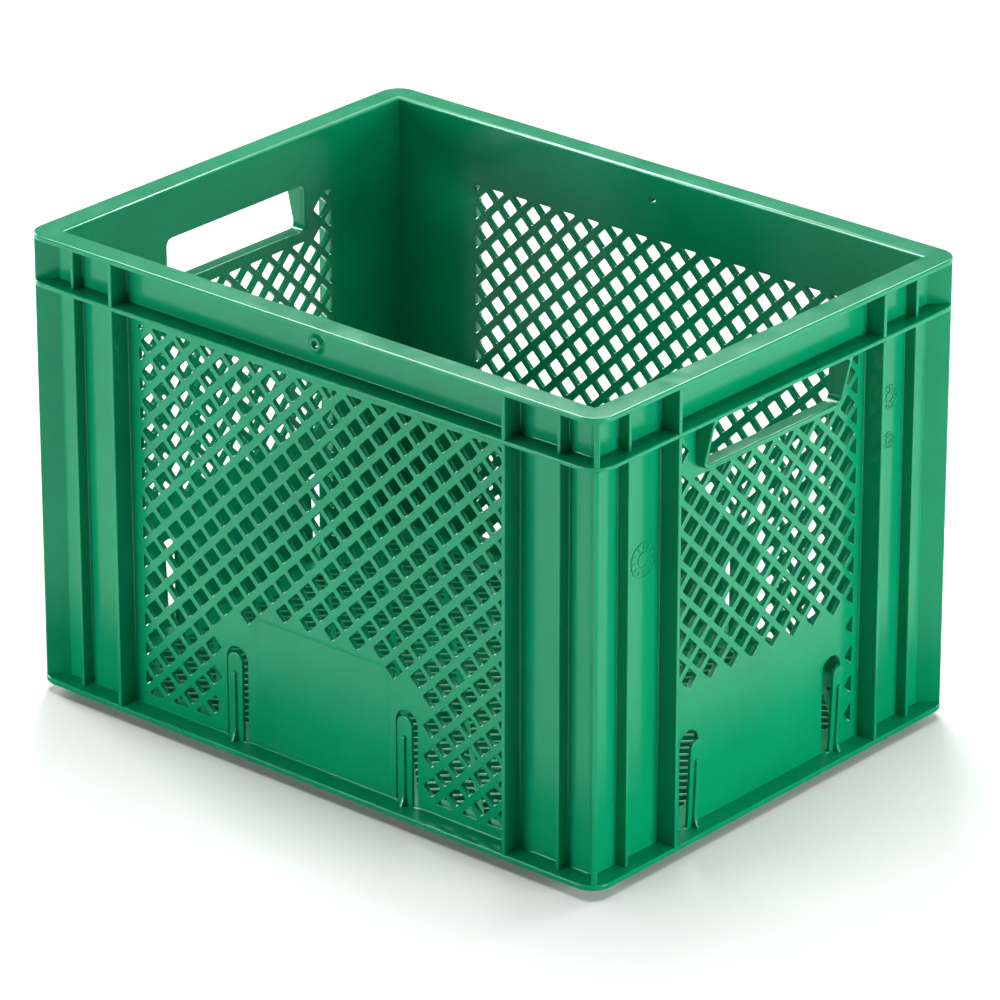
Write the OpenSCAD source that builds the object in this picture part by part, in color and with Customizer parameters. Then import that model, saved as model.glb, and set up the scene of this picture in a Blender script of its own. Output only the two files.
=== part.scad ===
// Perforated stacking crate, 400 x 300 mm footprint.
// Frame: millimetres, origin under the middle of the stacking foot, +Z up.
// Long walls face -Y (front) and +Y (back); the handles are in the end walls.
// The crate is one moulding; each node is one region of it, and regions meet
// face to face. Only the eight label clips move.

/* [Overall] */
// Outside length over the rim
length = 400; // [380:1:440]
// Outside width over the rim
width = 300; // [280:1:340]
// Outside height from foot to rim
height = 270; // [250:1:300]
// Radius of the rim and flange corners
outline_r = 12.5; // [8:0.5:14]

/* [Walls and flanges] */
// How far rim and flanges stand out from the walls
overhang = 12; // [10:0.5:14]
// Wall thickness
wall = 3; // [2.4:0.1:3.6]
// Outside radius of the wall corners
wall_r = 4; // [3:0.5:6]
// Thickness of the top rim
rim_t = 3; // [2.5:0.1:4]
// Thickness of the flange under the upper band
band_flange_t = 2.5; // [2:0.1:3.5]
// Drop from the rim top to the underside of the band flange
band_drop = 29.5; // [26:0.5:34]
// Thickness of the floor and the base flange
floor_t = 3; // [2.5:0.1:3.5]

/* [Stacking foot] */
// Height of the foot below the floor
foot_h = 6; // [4:0.5:8]
// Side play of the foot inside the rim of the crate below
foot_play = 1; // [0.5:0.1:2]
// Wall thickness of the foot
foot_wall = 3; // [2:0.1:4]
// Chamfer round the top opening
rim_chamfer = 1.5; // [0.5:0.1:2]

/* [Lattice] */
// Pitch of the holes along a row
pitch = 17.3; // [15:0.1:20]
// Height of the lowest row above the base flange
row_lift = 6.5; // [5:0.5:9]
// Width of the rising bars, long walls
long_rising = 4.4; // [3:0.1:5]
// Width of the falling bars, long walls
long_falling = 3.1; // [2.5:0.1:5]
// Width of the rising bars, end walls
end_rising = 3.2; // [2.5:0.1:5]
// Width of the falling bars, end walls
end_falling = 3.5; // [2.5:0.1:5]
// Rows closed above the floor over the middle of each wall
closed_rows = 9; // [8:1:10]

/* [Ribs] */
// Distance of the full ribs from the corner, long walls
full_rib_long = 62.6; // [60:0.1:66]
// Distance of the full ribs from the corner, end walls
full_rib_end = 65.5; // [63:0.1:69]
// Distance of the half ribs from the corner, long walls
half_rib_long = 30; // [28:0.1:34]
// Distance of the half ribs from the corner, end walls
half_rib_end = 31.5; // [29:0.1:35]
// Thickness of the full ribs
full_rib_t = 2.5; // [2:0.1:3]
// Thickness of the half ribs
half_rib_t = 2.2; // [1.8:0.1:2.8]
// Depth of the half ribs
half_rib_d = 7; // [5:0.5:9]
// Thickness of the diagonal corner ribs
corner_rib_t = 3; // [2:0.1:4]

/* [Handles] */
// Width of the hand opening
handle_w = 111; // [100:1:113]
// Height of the hand opening
handle_h = 27; // [24:0.5:30]
// Radius of its corners
handle_r = 4; // [2:0.5:5]
// Closed strip of wall under the opening
handle_strip = 7; // [6:0.5:9]
// How far the collar stands out below the opening
lip_out = 5; // [4:0.5:7]
// Thickness of the collar's sides
collar_t = 2; // [1.5:0.1:3]
// Thickness of the collar's lower lip
lip_t = 3; // [2:0.1:3.5]

/* [Label clips] */
// Width of a clip tongue, long walls
clip_w = 10.4; // [9:0.1:12]
// Width of a clip tongue, end walls
end_clip_w = 8.8; // [8:0.1:12]
// Thickness of a clip tongue
clip_t = 2; // [1.6:0.1:2.4]
// Depth of the rib down a clip
clip_rib_d = 1.5; // [1:0.1:2]
// Height of a clip top above the base flange, long walls
clip_top = 52; // [48:0.5:54]
// Height of a clip top above the base flange, end walls
end_clip_top = 50.5; // [48:0.5:54]
// Outward lean of a clip in degrees, long walls
clip_lean = 0.5; // [0:0.1:3]
// Outward lean of a clip in degrees, end walls
end_clip_lean = 2.5; // [0:0.1:3]
// Distance of a clip root from the wall face, long walls
clip_out = 0.6; // [0.3:0.1:2.5]
// Distance of a clip root from the wall face, end walls
end_clip_out = 2.2; // [0.3:0.1:2.5]
// Gap between a clip root and the flange
clip_gap = 0.3; // [0.2:0.05:0.5]
// Clip distance from the middle, long walls
clip_x = 60.5; // [59:0.5:62]
// Clip distance from the middle, end walls
clip_y = 60; // [57:0.5:61]
// Width of the arched slot behind a clip
slot_w = 15.2; // [13.5:0.1:16]
// Height of the arched slot
slot_h = 54.5; // [53:0.5:56]

/* [Label field and seal holes] */
// Half length of the sunk label field
label_half = 48; // [40:1:49]
// Height of the label field
label_h = 70; // [60:1:74]
// Depth of the label field
label_d = 0.4; // [0.2:0.1:0.8]
// Diameter of the seal hole
seal_d = 4; // [3:0.5:5]
// Diameter of the seal boss at the wall
boss_d = 10.7; // [9:0.1:12]
// Height of the seal boss
boss_h = 2; // [1.5:0.1:3]

/* [Floor] */
// Pitch of the diagonal floor bars
bar_pitch = 8; // [7:0.5:10]
// Width of the diagonal floor bars
bar_w = 2; // [1.5:0.1:3]
// Pitch of the cross bars
cross_pitch = 33; // [28:1:40]
// Width of the plain floor margin
floor_margin = 14; // [10:1:20]

/* [Hidden] */

green = "#2f9a69";
half_l = length / 2;
half_w = width / 2;
wall_x = half_l - overhang;
wall_y = half_w - overhang;
in_x = wall_x - wall;
in_y = wall_y - wall;
base_z = foot_h + floor_t;
rim_z = height - rim_t;
band_z = height - band_drop;
band_top = band_z + band_flange_t;
rib_x = half_l - full_rib_long;
rib_y = half_w - full_rib_end;
half_x = half_l - half_rib_long;
half_y = half_w - half_rib_end;
step = pitch / 2;
diag_pitch = pitch / sqrt(2);
row_z = base_z + row_lift;
rows = floor((band_z - 8.5 - row_z) / step);
lattice_top = row_z + rows * step;
edge_margin = 8.9;
field_x = rib_x - edge_margin;
field_y = rib_y - 7;
handle_z = band_z - handle_h;
strip_z = handle_z - handle_strip;
side_cols = 8;
handle_half = handle_w / 2 + 5.5;
handle_low = strip_z + 1.5;
foot_x = in_x - foot_play - foot_wall;
foot_y = in_y - foot_play - foot_wall;
beam_t = 2.5;
beam_h = foot_h - 2;
beam_y = foot_y / 3;

// First open column in each row: the middle of the wall is closed low down.
function long_first(n) = n >= closed_rows ? 0 : n == closed_rows - 1 ? 6 : n % 2 == 1 ? 9 : 10;
function side_first(n) = n >= closed_rows ? side_cols : side_cols + 1;

module rounded_plate(l, w, r, h) {
    linear_extrude(h)
        union() {
            square([l - 2 * r, w], center = true);
            square([l, w - 2 * r], center = true);
            for (sx = [-1, 1], sy = [-1, 1])
                translate([sx * (l / 2 - r), sy * (w / 2 - r)])
                    circle(r = r, $fn = 64);
        }
}

module ring(l, w, r, h, in_l, in_w, in_r) {
    difference() {
        rounded_plate(l, w, r, h);
        translate([0, 0, -1])
            rounded_plate(in_l, in_w, in_r, h + 2);
    }
}

// Wall panel drawn flat: across by up, pushed through the wall thickness.
module on_front(s) {
    translate([0, s < 0 ? -in_y : wall_y, 0])
        rotate([90, 0, 0])
            linear_extrude(wall)
                children();
}

module on_end(s) {
    translate([s < 0 ? -wall_x : in_x, 0, 0])
        rotate([90, 0, 90])
            linear_extrude(wall)
                children();
}

// One row of turned holes, over the columns from first to last on both sides.
module hole_row(n, first, last, rising, falling) {
    for (c = [-last : last])
        if (abs(c) >= first && (c + n) % 2 == 0)
            translate([c * step, row_z + n * step])
                rotate(45)
                    square([diag_pitch - falling, diag_pitch - rising], center = true);
}

// Rows of the long walls, cut off square at the edges of the lattice.
module long_holes() {
    last = floor(field_x / step) + 1;
    intersection() {
        translate([-field_x, row_z])
            square([2 * field_x, lattice_top - row_z]);
        union()
            for (n = [0 : rows])
                hole_row(n, long_first(n), last, long_rising, long_falling);
    }
}

// Rows of the end walls: the middle ones stop under the handle.
module end_holes() {
    intersection() {
        translate([-field_y, row_z])
            square([2 * field_y, strip_z - row_z]);
        union()
            for (n = [closed_rows : rows])
                hole_row(n, 0, side_cols - 1, end_rising, end_falling);
    }
    intersection() {
        translate([-field_y, row_z])
            square([2 * field_y, lattice_top - row_z]);
        union()
            for (n = [0 : rows])
                hole_row(n, side_first(n), side_cols + 1, end_rising, end_falling);
    }
}

module arch(u) {
    translate([u - slot_w / 2, base_z - 1])
        square([slot_w, slot_h - slot_w / 2 + 1]);
    translate([u, base_z + slot_h - slot_w / 2])
        circle(d = slot_w, $fn = 48);
}

module label_field() {
    low = base_z + 4.5;
    cut = 4;
    polygon([
        [-label_half, low], [label_half, low],
        [label_half, low + label_h - cut], [label_half - cut, low + label_h],
        [-label_half + cut, low + label_h], [-label_half, low + label_h - cut]
    ]);
}

module long_lattice(s) {
    color(green)
        difference() {
            on_front(s)
                difference() {
                    translate([-rib_x, base_z])
                        square([2 * rib_x, band_z - base_z]);
                    long_holes();
                    arch(-clip_x);
                    arch(clip_x);
                }
            translate([0, s < 0 ? -wall_y + label_d : wall_y + 1, 0])
                rotate([90, 0, 0])
                    linear_extrude(label_d + 1)
                        label_field();
        }
}

module end_lattice(s) {
    color(green)
        on_end(s)
            difference() {
                translate([-rib_y, base_z])
                    square([2 * rib_y, band_z - base_z]);
                translate([-handle_half, handle_low])
                    square([2 * handle_half, height]);
                end_holes();
                arch(-clip_y);
                arch(clip_y);
            }
}

module rounded_square(half, lo, hi, r) {
    translate([-half + r, lo])
        square([2 * (half - r), hi - lo]);
    translate([-half, lo + r])
        square([2 * half, hi - lo - 2 * r]);
    for (m = [-1, 1], z = [lo + r, hi - r])
        translate([m * (half - r), z])
            circle(r = r, $fn = 32);
}

module hand_opening() {
    rounded_square(handle_w / 2, handle_z, band_z, handle_r);
}

// Collar round the opening, closed above by the band flange.
module collar_outline() {
    half = handle_w / 2 + collar_t;
    lo = handle_z - lip_t;
    r = handle_r + collar_t;
    difference() {
        union() {
            rounded_square(half, lo, band_z, r);
            translate([-half, band_z - 2 * r])
                square([2 * half, 2 * r]);
        }
        hand_opening();
    }
}

// Side view of the collar: shallow at the lip, flush with the flange above.
module collar_depth() {
    lo = handle_z - lip_t - 1;
    polygon([
        [-1, lo], [lip_out, lo], [lip_out, lo + 2],
        [overhang, band_z], [overhang, band_z + 1], [-1, band_z + 1]
    ]);
}

module handle(s) {
    color(green)
        union() {
            on_end(s)
                difference() {
                    translate([-handle_half, handle_low])
                        square([2 * handle_half, band_z - handle_low]);
                    hand_opening();
                }
            intersection() {
                translate([s < 0 ? -wall_x - overhang : wall_x - 1, 0, 0])
                    rotate([90, 0, 90])
                        linear_extrude(overhang + 1)
                            collar_outline();
                translate([s * wall_x, half_w, 0])
                    rotate([90, 0, 0])
                        linear_extrude(width)
                            mirror([s < 0 ? 1 : 0, 0])
                                collar_depth();
            }
        }
}

module seal_hole(s) {
    translate([0, s * wall_y, (band_top + rim_z) / 2])
        rotate([90, 0, 0])
            cylinder(d = seal_d, h = 4 * wall, center = true, $fn = 32);
}

module long_band(s) {
    color(green)
        difference() {
            union() {
                on_front(s)
                    translate([-rib_x, band_z])
                        square([2 * rib_x, rim_z - band_z]);
                translate([0, s * (wall_y - 1), (band_top + rim_z) / 2])
                    rotate([-s * 90, 0, 0])
                        cylinder(d1 = boss_d + 1.5, d2 = boss_d - 3, h = boss_h + 1, $fn = 48);
            }
            seal_hole(s);
        }
}

module end_band(s) {
    color(green)
        on_end(s)
            translate([-rib_y, band_z])
                square([2 * rib_y, rim_z - band_z]);
}

// L-shaped corner of the wall with its diagonal rib, full height.
module corner(sx, sy) {
    color(green)
        mirror([sx < 0 ? 1 : 0, 0, 0])
            mirror([0, sy < 0 ? 1 : 0, 0])
                union() {
                    translate([0, 0, base_z])
                        linear_extrude(rim_z - base_z)
                            corner_outline();
                    diagonal_rib(base_z, band_z);
                    diagonal_rib(band_top, rim_z);
                }
}

module corner_outline() {
    difference() {
        union() {
            translate([rib_x, in_y - 5])
                square([wall_x - wall_r - rib_x, wall_y - in_y + 5]);
            translate([in_x - 5, rib_y])
                square([wall_x - in_x + 5, wall_y - wall_r - rib_y]);
            translate([wall_x - wall_r, wall_y - wall_r])
                circle(r = wall_r, $fn = 32);
        }
        translate([rib_x - 10, rib_y - 10])
            square([in_x - rib_x + 10, in_y - rib_y + 10]);
    }
}

module diagonal_rib(lo, hi) {
    reach = outline_r - 0.1;
    translate([half_l - outline_r, half_w - outline_r, lo])
        rotate([0, 0, 45])
            translate([-wall, -corner_rib_t / 2, 0])
                cube([reach + wall, corner_rib_t, hi - lo]);
}

// Flat ribs standing on a long wall, below and above the band flange.
module rib_pair(lo, hi, s, at, t, d) {
    for (m = [-1, 1])
        translate([m * at - t / 2, s < 0 ? -wall_y - d : wall_y, lo])
            cube([t, d, hi - lo]);
}

module end_rib_pair(lo, hi, s, at, t, d) {
    for (m = [-1, 1])
        translate([s < 0 ? -wall_x - d : wall_x, m * at - t / 2, lo])
            cube([d, t, hi - lo]);
}

module long_ribs(s) {
    color(green)
        for (seg = [[base_z, band_z], [band_top, rim_z]]) {
            rib_pair(seg[0], seg[1], s, rib_x, full_rib_t, overhang);
            rib_pair(seg[0], seg[1], s, half_x, half_rib_t, half_rib_d);
        }
}

module end_ribs(s) {
    color(green)
        for (seg = [[base_z, band_z], [band_top, rim_z]]) {
            end_rib_pair(seg[0], seg[1], s, rib_y, full_rib_t, overhang);
            end_rib_pair(seg[0], seg[1], s, half_y, half_rib_t, half_rib_d);
        }
}

// Wedge-shaped block that opens upward by the chamfer on every side.
module mouth() {
    low = height - rim_chamfer;
    intersection() {
        rotate([90, 0, 0])
            translate([0, 0, -width])
                linear_extrude(2 * width)
                    trapezoid(in_x, low);
        rotate([90, 0, 90])
            translate([0, 0, -length])
                linear_extrude(2 * length)
                    trapezoid(in_y, low);
    }
}

module trapezoid(half, low) {
    polygon([
        [-half, low], [half, low],
        [half + rim_chamfer + 1, low + rim_chamfer + 1],
        [-half - rim_chamfer - 1, low + rim_chamfer + 1]
    ]);
}

module top_rim() {
    color(green)
        difference() {
            translate([0, 0, rim_z])
                rounded_plate(length, width, outline_r, rim_t);
            translate([-in_x, -in_y, rim_z - 1])
                cube([2 * in_x, 2 * in_y, rim_t + 2]);
            mouth();
        }
}

module band_flange() {
    color(green)
        translate([0, 0, band_z])
            ring(length, width, outline_r, band_flange_t, 2 * wall_x, 2 * wall_y, wall_r);
}

module base_flange() {
    color(green)
        translate([0, 0, foot_h])
            ring(length, width, outline_r, floor_t, 2 * wall_x, 2 * wall_y, wall_r);
}

// Floor plate: one long slot per gap, crossed by the bars left standing.
module floor_grille() {
    open_x = in_x - floor_margin;
    open_y = in_y - floor_margin;
    reach = (open_x + open_y) / sqrt(2);
    lanes = ceil(reach / bar_pitch);
    bays = ceil(reach / cross_pitch);
    color(green)
        translate([0, 0, foot_h])
            difference() {
                rounded_plate(2 * wall_x, 2 * wall_y, wall_r, floor_t);
                translate([0, 0, -1])
                    linear_extrude(floor_t + 2)
                        intersection() {
                            square([2 * open_x, 2 * open_y], center = true);
                            rotate(45)
                                for (i = [-bays : bays], j = [-lanes : lanes])
                                    translate([i * cross_pitch, j * bar_pitch])
                                        square([cross_pitch - 3, bar_pitch - bar_w], center = true);
                        }
            }
}

// Beams under the floor: long ones run through, cross ones fill between them.
module floor_long_beams() {
    color(green)
        for (y = [-beam_y, beam_y])
            translate([-foot_x, y - beam_t / 2, foot_h - beam_h])
                cube([2 * foot_x, beam_t, beam_h]);
}

module floor_cross_beams() {
    gap_lo = -beam_y + beam_t / 2;
    side = foot_y - beam_y - beam_t / 2;
    color(green)
        for (x = [-foot_x / 2, 0, foot_x / 2])
            translate([x - beam_t / 2, 0, foot_h - beam_h]) {
                translate([0, gap_lo, 0])
                    cube([beam_t, -2 * gap_lo, beam_h]);
                translate([0, -foot_y, 0])
                    cube([beam_t, side, beam_h]);
                translate([0, foot_y - side, 0])
                    cube([beam_t, side, beam_h]);
            }
}

module stacking_foot() {
    l = 2 * (in_x - foot_play);
    w = 2 * (in_y - foot_play);
    color(green)
        difference() {
            rounded_plate(l, w, wall_r, foot_h);
            translate([-l / 2 + foot_wall, -w / 2 + foot_wall, -1])
                cube([l - 2 * foot_wall, w - 2 * foot_wall, foot_h + 2]);
        }
}

// Raised rings and twelve plain ticks, with nothing written on them.
module dial(r) {
    rise = 0.4;
    rotate([0, 90, 0])
        union() {
            difference() {
                cylinder(r = r, h = rise, $fn = 48);
                translate([0, 0, -1])
                    cylinder(r = r - 0.8, h = rise + 2, $fn = 48);
            }
            difference() {
                cylinder(r = r * 0.45, h = rise, $fn = 32);
                translate([0, 0, -1])
                    cylinder(r = r * 0.45 - 0.7, h = rise + 2, $fn = 32);
            }
            for (a = [0 : 30 : 330])
                rotate([0, 0, a])
                    translate([r * 0.6, -0.3, 0])
                        cube([r * 0.25, 0.6, rise]);
        }
}

module mould_date_dials() {
    big_z = base_z + 0.714 * (band_z - base_z);
    color(green) {
        translate([wall_x, -half_w + 51, big_z])
            dial(10);
        translate([wall_x, half_w - 45, big_z + 25])
            dial(7);
        translate([wall_x, half_w - 45, big_z])
            dial(5);
    }
}

// Side view of a clip's rib, outward and up from the root line: a stem with a flared foot.
module clip_rib_outline(tall) {
    root = clip_t / 2;
    front = root + clip_rib_d;
    low = -root * 0.6;
    flare = 2.4;
    flare_h = 8;
    r = (flare * flare + flare_h * flare_h) / (2 * flare);
    difference() {
        union() {
            translate([root - 0.5, low])
                square([clip_rib_d + 0.5, tall - 11 - low]);
            translate([root - 0.5, low])
                square([clip_rib_d + 0.5 + flare, flare_h]);
        }
        translate([front + r, low + flare_h])
            circle(r = r, $fn = 96);
    }
}

// Clip tongue about its root line: x along the wall, -y outward, +z up.
module clip_shape(w, top) {
    root = clip_t / 2;
    tall = top - clip_gap - root;
    union() {
        rotate([90, 0, 0])
            translate([0, 0, -clip_t / 2])
                linear_extrude(clip_t)
                    union() {
                        translate([-w / 2, 0])
                            square([w, tall - w / 2]);
                        translate([0, tall - w / 2])
                            circle(d = w, $fn = 48);
                    }
        rotate([0, 90, 0])
            cylinder(r = root, h = w, center = true, $fn = 32);
        rotate([90, 0, -90])
            translate([0, 0, -1])
                linear_extrude(2)
                    clip_rib_outline(tall);
    }
}

module clip(u, turn, off, w, top, lean) {
    color(green)
        rotate([0, 0, turn])
            translate([u, -off, base_z + clip_gap + clip_t / 2])
                rotate([lean, 0, 0])
                    clip_shape(w, top);
}

module long_clip(u, turn) {
    clip(u, turn, wall_y + clip_out, clip_w, clip_top, clip_lean);
}

module end_clip(u, turn) {
    clip(u, turn, wall_x + end_clip_out, end_clip_w, end_clip_top, end_clip_lean);
}

top_rim();
long_band(-1);  // front_band
long_band(1);  // back_band
end_band(-1);  // left_band
end_band(1);  // right_band
band_flange();
long_lattice(-1);  // front_lattice_wall
long_lattice(1);  // back_lattice_wall
end_lattice(-1);  // left_lattice_wall
end_lattice(1);  // right_lattice_wall
handle(-1);  // left_handle
handle(1);  // right_handle
corner(-1, -1);  // front_left_corner
corner(1, -1);  // front_right_corner
corner(-1, 1);  // back_left_corner
corner(1, 1);  // back_right_corner
long_ribs(-1);  // front_ribs
long_ribs(1);  // back_ribs
end_ribs(-1);  // left_ribs
end_ribs(1);  // right_ribs
base_flange();
floor_grille();
floor_long_beams();
floor_cross_beams();
stacking_foot();
mould_date_dials();
long_clip(-clip_x, 0);  // front_left_clip
long_clip(clip_x, 0);  // front_right_clip
long_clip(clip_x, 180);  // back_left_clip
long_clip(-clip_x, 180);  // back_right_clip
end_clip(clip_y, 270);  // left_front_clip
end_clip(-clip_y, 270);  // left_back_clip
end_clip(-clip_y, 90);  // right_front_clip
end_clip(clip_y, 90);  // right_back_clip
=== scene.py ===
import math

import bmesh
import bpy
from mathutils import Matrix, Vector
from mathutils.geometry import delaunay_2d_cdt


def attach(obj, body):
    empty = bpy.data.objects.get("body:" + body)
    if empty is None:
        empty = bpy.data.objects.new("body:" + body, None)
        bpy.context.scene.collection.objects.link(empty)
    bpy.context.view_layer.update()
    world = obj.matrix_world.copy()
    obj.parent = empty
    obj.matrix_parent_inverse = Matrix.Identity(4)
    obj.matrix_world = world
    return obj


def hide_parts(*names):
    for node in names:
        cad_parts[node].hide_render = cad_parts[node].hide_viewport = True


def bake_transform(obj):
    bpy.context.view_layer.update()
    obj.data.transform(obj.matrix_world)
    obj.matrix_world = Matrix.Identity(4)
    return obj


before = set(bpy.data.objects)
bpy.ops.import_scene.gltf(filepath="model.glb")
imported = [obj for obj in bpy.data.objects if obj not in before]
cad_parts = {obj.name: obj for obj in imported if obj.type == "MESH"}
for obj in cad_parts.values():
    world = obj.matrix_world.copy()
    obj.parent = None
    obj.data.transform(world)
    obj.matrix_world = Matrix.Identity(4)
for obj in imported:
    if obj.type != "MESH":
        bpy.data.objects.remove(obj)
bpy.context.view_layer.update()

# ---------------------------------------------------------------- sizes, in millimetres
MM = 0.001                                # metres in a millimetre
LENGTH, WIDTH, HEIGHT = 400.0, 300.0, 270.0
HALF_L, HALF_W = LENGTH / 2, WIDTH / 2
OVERHANG, WALL = 12.0, 3.0
OUT_R, WALL_R = 12.5, 4.0
WALL_X, WALL_Y = HALF_L - OVERHANG, HALF_W - OVERHANG
IN_X, IN_Y = WALL_X - WALL, WALL_Y - WALL
FOOT_H, FLOOR_T, RIM_T = 6.0, 3.0, 3.0
BASE_Z = FOOT_H + FLOOR_T
RIM_Z = HEIGHT - RIM_T
BAND_Z, BAND_T = HEIGHT - 29.5, 2.5
BAND_TOP = BAND_Z + BAND_T
PITCH = 17.3
STEP = PITCH / 2
DIAG = PITCH / math.sqrt(2)
ROW_Z = BASE_Z + 6.5
ROWS = 25
LATTICE_TOP = ROW_Z + ROWS * STEP
CLOSED_ROWS, SIDE_COLS = 9, 8
LABEL_COLS, SHOULDER_COL = 10, 6          # lattice columns left closed round the label field
LONG_BARS, END_BARS = (4.4, 3.1), (3.2, 3.5)      # widths of the rising and the falling bars
HOLE_R, LEAST_HOLE = 0.55, 4.0            # corner radius, and the smallest opening in square mm
RIB_X, RIB_Y = HALF_L - 62.6, HALF_W - 65.5
HALF_RIB_X, HALF_RIB_Y = HALF_L - 30.0, HALF_W - 31.5
FULL_T, HALF_T, HALF_D, CORNER_T = 2.5, 2.2, 7.0, 3.0
FIELD_X, FIELD_Y = RIB_X - 8.9, RIB_Y - 7.0
LABEL_HALF, LABEL_LOW, LABEL_HIGH = 48.0, BASE_Z + 4.5, BASE_Z + 74.5
LABEL_CUT, LABEL_DEPTH, LABEL_SLOPE = 4.0, 0.4, 0.35
SEAL_R = 2.0
HAND_HALF, HAND_Z, HAND_R = 55.5, BAND_Z - 27.0, 4.0
STRIP_Z = HAND_Z - 7.0
HANDLE_HALF, HANDLE_LOW = HAND_HALF + 5.5, STRIP_Z + 1.5
COLLAR_T, LIP_T, LIP_OUT = 2.0, 3.0, 5.0
CLIP_T, CLIP_GAP, CLIP_RIB_D, CLIP_RIB_T = 2.0, 0.3, 1.5, 2.0
LONG_CLIP = (WALL_Y + 0.6, 10.4, 52.0, 0.5)      # root line, width, top, lean
END_CLIP = (WALL_X + 2.2, 8.8, 50.5, 2.5)
CLIP_HEAD = 11.0                          # plain end of a clip, above its rib
CLIP_X, CLIP_Y, SLOT_W, SLOT_H = 60.5, 60.0, 15.2, 54.5
FOOT_GAP, FOOT_WALL = 1.0, 3.0
BEAM_Z, BEAM_H, BEAM_HALF = 2.0, 4.0, 1.25
BEAM_X, BAY_Y = IN_X - FOOT_GAP - FOOT_WALL, IN_Y - FOOT_GAP - FOOT_WALL
BEAM_Y = BAY_Y / 3
FILLET = 0.7
EDGE = 0.35
BURIED = 0.3                              # how far a fillet or collar reaches into its wall


# ---------------------------------------------------------------- flat outlines
def arc(cx, cy, r, a0, a1, n):
    """n + 1 points along a circle from angle a0 to a1, in degrees."""
    out = []
    for k in range(n + 1):
        a = math.radians(a0 + (a1 - a0) * k / n)
        out.append((cx + r * math.cos(a), cy + r * math.sin(a)))
    return out


def rectangle(x0, y0, x1, y1):
    return [(x0, y0), (x1, y0), (x1, y1), (x0, y1)]


def rounded(hx, hy, r, n=8, lo=None, hi=None):
    """Rounded rectangle about the origin, or between heights lo and hi."""
    y0, y1 = (-hy, hy) if lo is None else (lo, hi)
    return (arc(hx - r, y0 + r, r, -90, 0, n) + arc(hx - r, y1 - r, r, 0, 90, n)
            + arc(-hx + r, y1 - r, r, 90, 180, n) + arc(-hx + r, y0 + r, r, 180, 270, n))


def circle(cx, cy, r, n=32):
    return arc(cx, cy, r, 0, 360 - 360 / n, n - 1)


def turned(cx, cy, w, h, angle):
    """Rectangle about (cx, cy), turned anticlockwise by an angle in degrees."""
    c, s = math.cos(math.radians(angle)), math.sin(math.radians(angle))
    pts = [(-w / 2, -h / 2), (w / 2, -h / 2), (w / 2, h / 2), (-w / 2, h / 2)]
    return [(cx + x * c - y * s, cy + x * s + y * c) for x, y in pts]


def area(pts):
    """Positive when the outline runs anticlockwise."""
    return 0.5 * sum(a[0] * b[1] - b[0] * a[1] for a, b in zip(pts, pts[1:] + pts[:1]))


def clipped(pts, x0, y0, x1, y1):
    """The part of a convex outline that lies in a box."""
    for axis, sign, limit in ((0, 1, x0), (0, -1, -x1), (1, 1, y0), (1, -1, -y1)):
        out = []
        for a, b in zip(pts, pts[1:] + pts[:1]):
            da, db = sign * a[axis] - limit, sign * b[axis] - limit
            if da >= 0:
                out.append(a)
            if (da > 0 > db) or (da < 0 < db):
                t = da / (da - db)
                out.append((a[0] + (b[0] - a[0]) * t, a[1] + (b[1] - a[1]) * t))
        pts = out
        if not pts:
            return []
    return tidy(pts)


def tidy(pts, gap=0.02):
    """Outline without points that fall on one another."""
    out = []
    for p in pts:
        if not out or math.dist(p, out[-1]) > gap:
            out.append(p)
    if len(out) > 1 and math.dist(out[0], out[-1]) <= gap:
        out.pop()
    return out


def softened(pts, r, n=1):
    """Corners of a convex outline rounded with radius r, or less on short sides."""
    out = []
    m = len(pts)
    for i in range(m):
        a, b, c = (Vector(pts[i - 1]), Vector(pts[i]), Vector(pts[(i + 1) % m]))
        u, v = (a - b), (c - b)
        reach = 0.4 * min(u.length, v.length)
        u.normalize()
        v.normalize()
        half = u.angle(v) / 2
        tangent = min(r / math.tan(half), reach)
        rr = tangent * math.tan(half)
        centre = b + (u + v).normalized() * (rr / math.sin(half))
        p, q = b + u * tangent - centre, b + v * tangent - centre
        turn = p.angle_signed(q)
        for k in range(n + 1):
            d = p.copy()
            d.rotate(Matrix.Rotation(-turn * k / n, 2))
            out.append(tuple(centre + d))
    return out


def inset(pts, dist):
    """Outline with each edge moved to its left by its own distance."""
    out = []
    m = len(pts)
    for i in range(m):
        b = pts[i]
        a, c = pts[i - 1], pts[(i + 1) % m]
        ux, uy = b[0] - a[0], b[1] - a[1]
        vx, vy = c[0] - b[0], c[1] - b[1]
        lu, lv = math.hypot(ux, uy), math.hypot(vx, vy)
        ux, uy, vx, vy = ux / lu, uy / lu, vx / lv, vy / lv
        d0, d1 = dist[i - 1], dist[i]
        cross = ux * vy - uy * vx
        if abs(cross) < 1e-4:
            d = (d0 + d1) / 2
            out.append((b[0] - uy * d, b[1] + ux * d))
        else:
            s, t = -d1 / cross, d0 / cross
            out.append((b[0] + s * ux + t * vx, b[1] + s * uy + t * vy))
    return out


def edge_profile(t, low=EDGE, high=EDGE, n=2):
    """Side of a plate of thickness t with rounded lower and upper edges: (inset, height)."""
    out = []
    for k in range(n, -1, -1) if low else ():
        a = math.pi / 2 * k / n
        out.append((low * (1 - math.cos(a)), low * (1 - math.sin(a))))
    if not low:
        out.append((0.0, 0.0))
    if not high:
        out.append((0.0, t))
    for k in range(n + 1) if high else ():
        a = math.pi / 2 * k / n
        out.append((high * (1 - math.cos(a)), t - high * (1 - math.sin(a))))
    return out


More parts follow.
